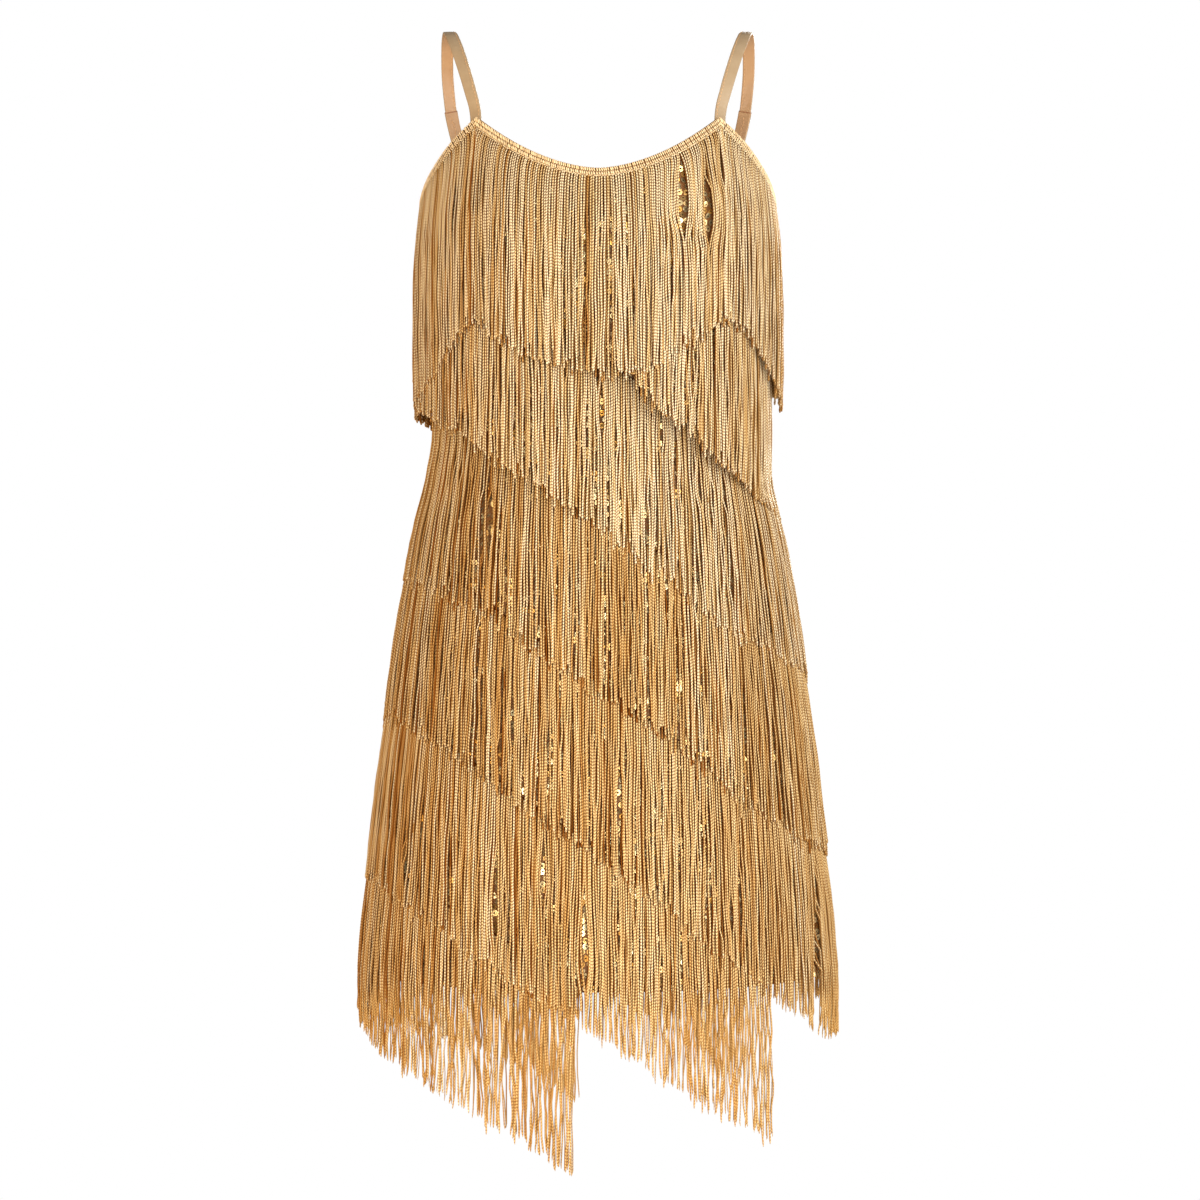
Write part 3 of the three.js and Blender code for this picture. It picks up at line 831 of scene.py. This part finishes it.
def cord_part(start, stop, top, root_drop, length, lift, layer, ring_count, rng, kind):
    """One layer of a fringe's hanging cords."""
    bust = kind.startswith("bust")
    angles, travelled = spaced_angles(start, stop, top, layer["pitch"], rng, bust)
    count = len(angles)
    shares = cord_shares(round(ring_count * layer["rings"]), bust)

    lengths = cord_lengths(angles, travelled, top, length - root_drop, kind, rng)
    down = shares * lengths[:, None]

    drift = 0.0
    if bust:
        slope = trim_slope(angles)[:, None]
        steep = np.hypot(1, slope)
        root_angles, root_z = below_trim(angles, root_drop)
        bent = ROOT_BEND * (1 - np.exp(-down / ROOT_BEND))
        drift = bent * slope / steep
        z = root_z[:, None] - down + bent * (1 - 1 / steep)
    else:
        root_angles = angles
        z = top(angles)[:, None] - root_drop - down

    section = [np.maximum.accumulate(part, axis=1) for part in section_at(z)]
    below_hem = np.clip((HEM_Z - z) / HEM_FADE, 0, 1)
    stray = np.zeros(count)
    for wave, reach in CLUMPS:
        stray += reach * np.sin(2 * math.pi * travelled / wave + rng.uniform(0, 2 * math.pi))
    stray += rng.normal(0, STRAY_SCATTER, count)
    sway = drift + stray[:, None] * shares**1.3

    def wave_along(shortest, longest, reach):
        turns = down / (rng.uniform(shortest, longest, (count, 1)) * MM)
        return reach * np.sin(2 * math.pi * (turns + rng.uniform(0, 1, (count, 1))))

    loose = np.minimum(1, 3 * shares)
    for shortest, longest, reach, more in SIDEWAYS_WAVES:
        sway = sway + loose * wave_along(shortest, longest, (reach + more * below_hem) * MM)
    lean = rng.normal(0, LOW_LEAN, (count, 1))
    sway = sway + lean * np.clip((HEM_Z - z) / LOW_LEAN_HEIGHT, 0, 1) ** 1.2
    if kind.endswith("front"):
        across = section[0] * np.sin(np.radians(plumb_angles(root_angles[:, None], section[0])))
        sway = sway + parting_shift(across, z) * np.minimum(1, 12 * shares)
    around = plumb_angles(root_angles[:, None], section[0])
    swayed = around + np.degrees(sway / body_radius(section, around))

    out = layer["out"] + lift * (1 - (1 - shares) ** 3)
    out = out + rng.normal(0, OUT_SCATTER, (count, 1)) * loose
    shortest, longest, reach, more = OUTWARD_WAVE
    out = out + loose * wave_along(shortest, longest, (reach + more * below_hem) * MM)
    if bust or kind.startswith("a"):
        out = out - OVERHANG_PRESS * np.clip((shares - 0.5) / 0.5, 0, 1) ** 2
    centres = point_on(section, swayed, z, out)
    side_dir, out_dir = directions_at(swayed)
    knob = np.ones(len(shares))
    knob[-3:] = KNOB
    tip = np.ones(len(shares))
    tip[-3:] = CUT_TIP
    ends = knob + (tip - knob) * below_hem
    size = rng.uniform(0.9, 1.1, (count, 1)) * ends * (1 - layer["thinning"] * below_hem)
    sides = layer["sides"]
    ring = 2 * math.pi * np.arange(sides) / sides
    wide = (CORD_HALF_WIDTH * size)[..., None] * np.cos(ring)
    deep = (CORD_HALF_DEPTH * size)[..., None] * np.sin(ring)
    rings = (centres[:, :, None] + side_dir[:, :, None] * wide[..., None]
             + out_dir[:, :, None] * deep[..., None])

    tape = kind.split("_")[0]
    sine = np.sin(np.radians(angles))[:, None]
    scatter = SCATTER[tape] + RIGHT_SCATTER * (np.abs(sine) - sine)
    # A layer's shade is painted shade: the inner cords are darkened as though in the outer cords'
    # shadow.
    tone = SHADE[tape] + layer["shade"] + rng.normal(0, 1, (count, 1)) * scatter
    bands = SHADE_BANDS[0] * np.sin(travelled / SHADE_BANDS[1])[:, None]
    tone = tone + bands + wave_along(*SHADE_WAVE)
    # Below the hem the inner layer's painted shade is taken off, and both layers are made darker
    # by HEM_DARKENING.
    tone = tone - (layer["shade"] + HEM_DARKENING) * below_hem
    tone[:, -3:] += PALE_END
    links = down / CORD_LINK + rng.uniform(0, 900, (count, 1))
    # How far the painted shade on a cord's sides gives way to painted through-light: below the hem
    # and at the side seams.
    lit = np.maximum(below_hem, SIDE_LIGHT * np.sin(np.radians(swayed)) ** 4)
    return tube_part(rings, links, np.clip(tone, 0, 1), lit=lit)


def header_part(start, stop, top, height, bust):
    """The band along a fringe's top, in the tape's own place."""
    columns = max(12, int((stop - start) / 1.5))
    angles = np.linspace(start, stop, columns)
    outer, inner = TAPE_CLEARANCE + TAPE_THICKNESS, TAPE_CLEARANCE
    low_angles, low_z = below_trim(angles, height) if bust else (angles, top(angles) - height)
    corners = [
        (angles, top(angles), outer),
        (low_angles, low_z, outer),
        (low_angles, low_z, inner),
        (angles, top(angles), inner),
    ]
    rings = np.stack([body_point(at, z, out) for at, z, out in corners], axis=1)
    along = np.arange(columns)[None, :] * 1.0
    return tube_part(rings[None], along, 0.3, material=int(bust))


def make_fringe(kind, node, start, stop, top, header, root_drop, length, lift, ring_count, seed):
    rng = np.random.default_rng([SEED, 2, seed])
    parts = [cord_part(start, stop, top, root_drop, length, lift, layer, ring_count, rng, kind)
             for layer in LAYERS]
    parts.append(header_part(start, stop, top, header, kind.startswith("bust")))
    return finish_piece(joined_piece(f"fringe_{kind}", parts, [CORD, HEADER]), "fringe", node)


def make_tier(tier, side, seed):
    stops = seam_stops(side)
    start, stop = stops[0], stops[3]
    if side == "front":
        if "front_start_x" in tier:
            start = angle_at_x(tier, tier["front_start_x"])
        if "front_end_x" in tier:
            stop = angle_at_x(tier, tier["front_end_x"])
    else:
        if "back_start_x" in tier:
            stop = 180 - angle_at_x(tier, tier["back_start_x"])
        if "back_end_x" in tier:
            start = 180 - angle_at_x(tier, tier["back_end_x"])
    ring_count = LOW_RINGS if tier["name"] in "def" else RINGS
    return make_fringe(f"{tier['name']}_{side}", f"tier_{tier['name']}_{side}", start, stop,
                       tape_top(tier), TAPE_HEIGHT, ROOT_DROP, FRINGE_LENGTH, TIER_LIFT,
                       ring_count, seed)


def make_bust_fringe(side, seed):
    stops = seam_stops(side)
    return make_fringe(f"bust_{side}", f"bust_fringe_{side}", stops[0], stops[3],
                       trim_top, BUST_HEADER_HEIGHT, BUST_ROOT_DROP, BUST_FRINGE_LENGTH, BUST_LIFT,
                       RINGS, seed)


def stitch_part(angles, high, low, out, radius, rng):
    """A row of stitches along the top edge, from high to low below it, leaning towards upright."""
    count = len(angles)
    shares = np.array([0, 0.12, 0.5, 0.88, 1.0])
    arch = np.array([-0.4, 0.25, 0.6, 0.25, -0.4]) * MM
    drop = high + (low - high) * shares
    radius_here = body_radius(section_at(trim_top(angles)), angles)
    slope = trim_slope(angles)
    slant = (0.25 - 0.7 * slope / np.hypot(1, slope)) * (low - high) / np.hypot(1, slope)
    lean = np.degrees((slant / radius_here)[:, None] * (shares - 0.5)[None, :])
    at, z = below_trim(angles[:, None] + lean, drop[None, :])
    centres = body_point(at, z, out + arch[None, :])
    side_dir, out_dir = directions_at(at)
    size = radius * np.array([0.55, 0.95, 1, 0.95, 0.55]) * rng.uniform(0.9, 1.1, (count, 1))
    ring = 2 * math.pi * np.arange(5) / 5
    wide = STITCH_WIDENING * size[..., None] * np.cos(ring)
    deep = size[..., None] * np.sin(ring)
    rings = (centres[:, :, None] + side_dir[:, :, None] * wide[..., None]
             + out_dir[:, :, None] * deep[..., None])
    along = np.broadcast_to(drop / (0.9 * MM), (count, len(shares)))
    return tube_part(rings, along, rng.uniform(0.2, 1, (count, 1)))


def ridge_part(angles, drop, out, radius):
    """The corded ridge under the stitches."""
    at, z = below_trim(angles, drop)
    centres = body_point(at, z, out)
    _, out_dir = directions_at(at)
    up = np.array([0.0, 0.0, 1.0])
    ring = 2 * math.pi * np.arange(6) / 6
    rings = (centres[:, None] + up * (radius * np.cos(ring))[None, :, None]
             + out_dir[:, None] * (radius * np.sin(ring))[None, :, None])
    along = np.arange(len(angles))[None, :] * 1.0
    return tube_part(rings[None], along, 0.75)


def make_edge_braid(side, seed):
    """The trim's top: two rows of slanted stitches over a corded ridge."""
    rng = np.random.default_rng([SEED, 3, seed])
    stops = seam_stops(side)
    out = TAPE_CLEARANCE + TAPE_THICKNESS + BRAID_LIFT
    angles, _ = spaced_angles(stops[0] + 0.4, stops[3] - 0.4, trim_top, STITCH_PITCH, rng, True)
    parts = [stitch_part(angles, high, low, out, STITCH_RADIUS, rng) for high, low in STITCH_ROWS]
    fine = np.concatenate([np.linspace(stops[k], stops[k + 1], 70)[(k > 0):] for k in range(3)])
    parts.append(ridge_part(fine, RIDGE_DROP, out, RIDGE_RADIUS))
    braid = joined_piece(f"braid_{side}", parts, [BRAID])
    return finish_piece(braid, "braid", f"edge_braid_{side}")


def strap_frame(shares, mirror):
    """The strap's middle, its way across and its way out, for shares of its length."""
    points = STRAP_PATH[:, :3] * MM
    steps = np.linalg.norm(np.diff(points, axis=0), axis=1)
    travelled = np.concatenate([[0], np.cumsum(steps)])

    def place(at):
        return np.stack([smooth_column(travelled, points[:, k], at) for k in range(3)], axis=-1)

    at = shares * travelled[-1]
    middle = place(at)
    along = place(at + 0.5 * MM) - place(at - 0.5 * MM)
    along /= np.linalg.norm(along, axis=1, keepdims=True)
    turn = np.radians(np.interp(at, travelled, STRAP_PATH[:, 3]))
    across = np.stack([np.cos(turn), np.sin(turn), 0 * turn], axis=-1)
    across -= along * np.sum(across * along, axis=1, keepdims=True)
    across /= np.linalg.norm(across, axis=1, keepdims=True)
    out = np.cross(across, along)
    for vectors in (middle, across, out):
        vectors[:, 0] *= mirror
    return middle, across, out, travelled[-1]


def join_share():
    """The share of the strap's length at which its back leg is seamed."""
    shares = np.linspace(0.5, 1, 2001)
    middle = strap_frame(shares, 1)[0]
    return float(shares[np.argmax(middle[:, 2] < STRAP_JOIN_Z)])


def make_band(name, node, start, stop, width, mirror, steps):
    """A flat satin band along a stretch of the strap, a little crowned."""
    def place(across_share, along_share):
        middle, across, out, _ = strap_frame(start + (stop - start) * along_share, mirror)
        side = 2 * across_share - 1
        crown = STRAP_CROWN * (1 - side**2)
        return middle + across * (side * width / 2)[:, None] + out * crown[:, None]

    band = shaped_grid(name, 8, steps, place)
    if mirror < 0:
        bpy.ops.object.mode_set(mode="EDIT")
        bpy.ops.mesh.select_all(action="SELECT")
        bpy.ops.mesh.flip_normals()
        bpy.ops.object.mode_set(mode="OBJECT")
    band.data.materials.append(SATIN)
    band.data.materials.append(SATIN_BACK)
    apply_modifier(band, "SOLIDIFY", thickness=STRAP_THICKNESS - STRAP_CROWN, offset=0.0,
                   material_offset=1)
    apply_modifier(band, "BEVEL", width=STRAP_BEVEL, segments=3, limit_method="ANGLE",
                   angle_limit=1.0)
    band.data.shade_smooth()
    return finish_piece(band, "strap_satin", node)


def make_strap_stitches(name, start, stop, mirror, offset, wander, seed):
    """A row of small stitches along a strap, showing on both its faces."""
    rng = np.random.default_rng([SEED, 4, seed])
    length = strap_frame(np.array([0.0]), mirror)[3] * (stop - start)
    count = int(length / STRAP_STITCH_PITCH)
    middle_share = start + (stop - start) * (np.arange(count) + 0.5) / count
    reach = np.linspace(-1, 1, 4) * 1.15 * MM * (stop - start) / length
    shares = (middle_share[:, None] + reach[None, :]).ravel()
    middle, across, out, _ = strap_frame(shares, mirror)
    stray = np.repeat(rng.normal(0, wander, count), 4) + wander * np.sin(shares * 160)
    ring = 2 * math.pi * np.arange(5) / 5 * mirror
    along = np.broadcast_to(np.arange(4) * 0.1, (count, 4))
    tone = rng.uniform(0, 1, (count, 1))
    parts = []
    for face, lift in ((1, 1.08), (-1, 0.95)):
        arch = np.tile([lift - 0.2, lift, lift, lift - 0.2], count) * MM
        centres = middle + across * (offset + stray)[:, None] + out * face * arch[:, None]
        wide = (0.3 * MM * np.cos(ring))[None, :, None]
        deep = (0.22 * MM * np.sin(-ring))[None, :, None]
        rings = centres[:, None] + across[:, None] * wide + out[:, None] * deep
        parts.append(tube_part(rings.reshape(count, 4, 5, 3), along, tone))
    stitches = joined_piece(name, parts, [THREAD])
    return finish_piece(stitches, "strap_satin")


def make_strap_turn(name, join, mirror):
    """The dark turned-in end of the tab that the strap is sewn into."""
    middle, across, out, _ = strap_frame(np.array([join]), mirror)
    shares = np.array([-1, -0.96, -0.5, 0, 0.5, 0.96, 1]) * TAB_WIDTH / 2
    centres = middle + across * shares[:, None] + out * 0.25 * MM
    size = np.array([0.35, 0.85, 1, 1, 1, 0.85, 0.35])[:, None]
    along = np.cross(out, across)
    ring = 2 * math.pi * np.arange(8) / 8 * mirror
    rings = (centres[:, None] + along[None] * (0.75 * MM * size * np.cos(ring))[..., None]
             + out[None] * (1.15 * MM * size * np.sin(ring))[..., None])
    turn = joined_piece(name, [tube_part(rings[None], shares[None] / MM, 0.0)], [TURN])
    return finish_piece(turn, "strap_satin")


def make_straps():
    join = join_share()
    for side, mirror in (("left", 1), ("right", -1)):
        length = strap_frame(np.array([0.0]), mirror)[3]
        tab = join + STRAP_JOIN_GAP / length
        make_band(f"band_{side}", f"strap_{side}", 0, join, STRAP_WIDTH, mirror, 90)
        make_band(f"band_tab_{side}", f"strap_tab_{side}", tab, 1, TAB_WIDTH, mirror, 28)
        make_strap_turn(f"strap_turn_{side}", join, mirror)
        make_strap_stitches(f"stitches_strap_{side}", 0.03, join - 0.01, mirror,
                            -3.6 * MM, 0.12 * MM, mirror + 1)
        make_strap_stitches(f"stitches_tab_{side}", tab + 0.012, 0.93, mirror,
                            0.4 * MM, 0.5 * MM, mirror + 5)


def make_camera():
    """The photo's view: level, straight in front, a little below the middle of the dress."""
    distance, view_width, sensor = 2.1, 1.032, 36.0
    data = bpy.data.cameras.new("camera")
    data.sensor_width = sensor
    data.lens = sensor * distance / view_width
    camera = bpy.data.objects.new("camera", data)
    camera.location = (1.7 * MM, -distance, -488 * MM)
    camera.rotation_euler = (math.pi / 2, 0, 0)
    bpy.context.scene.collection.objects.link(camera)
    bpy.context.scene.camera = camera


def make_lamp(name, place, target, size, energy, colour):
    data = bpy.data.lights.new(name, "AREA")
    data.shape = "DISK"
    data.size = size
    data.energy = energy
    data.color = colour
    lamp = bpy.data.objects.new(name, data)
    lamp.location = place
    away = np.array(place) - np.array(target)
    lamp.rotation_euler = (math.atan2(math.hypot(away[0], away[1]), away[2]), 0,
                           math.atan2(away[1], away[0]) + math.pi / 2)
    bpy.context.scene.collection.objects.link(lamp)


def make_floor():
    """A pale floor well under the dress."""
    deselect_all()
    bpy.ops.mesh.primitive_circle_add(vertices=96, radius=FLOOR_RADIUS, fill_type="NGON")
    floor = bpy.context.active_object
    floor.name = "floor"
    floor.data.transform(Matrix.Translation((0, 0, FLOOR_Z)))
    finish = Finish("pale_floor")
    cloud = finish.noise(finish.place(), 6.0)
    finish.set(Base_Color=finish.mix(cloud, (0.84, 0.84, 0.84), (0.88, 0.88, 0.88)))
    finish.shader.inputs["Roughness"].default_value = 0.7
    floor.data.materials.append(finish.material)


def make_lamps():
    """Soft lamps: white from the front and right, warm from the left and low down."""
    middle = (0, 0, -0.45)
    make_lamp("front", (0.4, -2.7, -0.35), middle, 1.6, 67, (1.0, 0.98, 0.92))
    make_lamp("right", (2.0, -1.5, -0.25), middle, 1.8, 62, (1.0, 0.99, 0.95))
    make_lamp("left", (-1.9, -1.5, -0.85), middle, 1.6, 48, (1.0, 0.72, 0.40))
    make_lamp("low", (-0.3, -1.5, -1.15), (0, 0, -0.85), 0.8, 4, (1.0, 0.66, 0.28))
    make_lamp("back", (0.5, 2.4, 0.2), middle, 1.6, 70, (1.0, 0.97, 0.93))


def make_surround():
    """An even surround: white to the camera, warm and dimmer as light."""
    world = bpy.data.worlds.new("surround")
    bpy.context.scene.world = world
    world.use_nodes = True
    tree = world.node_tree
    seen = tree.nodes.new("ShaderNodeBackground")
    seen.inputs["Color"].default_value = (1, 1, 1, 1)
    seen.inputs["Strength"].default_value = 1.0
    light = tree.nodes["Background"]
    light.inputs["Color"].default_value = (1, 0.90, 0.76, 1)
    light.inputs["Strength"].default_value = 0.38
    path = tree.nodes.new("ShaderNodeLightPath")
    choose = tree.nodes.new("ShaderNodeMixShader")
    tree.links.new(path.outputs["Is Camera Ray"], choose.inputs[0])
    tree.links.new(light.outputs[0], choose.inputs[1])
    tree.links.new(seen.outputs[0], choose.inputs[2])
    tree.links.new(choose.outputs[0], tree.nodes["World Output"].inputs[0])
    bpy.context.scene.view_settings.view_transform = "Standard"


make_camera()
make_floor()
make_lamps()
make_surround()

for number, side in enumerate(("front", "back")):
    pieces = [make_sequins(side), make_bust_fringe(side, number), make_edge_braid(side, number)]
    for row, tier in enumerate(TIERS):
        pieces.append(make_tier(tier, side, 10 + 2 * row + number))
make_straps()

# The cut of each panel: hem width and length, and its flat area
CUTS = {"front": ((0.545, 0.72), 0.304), "back": ((0.55, 0.68), 0.293)}
for side, (flat, area) in CUTS.items():
    make_panel(side)
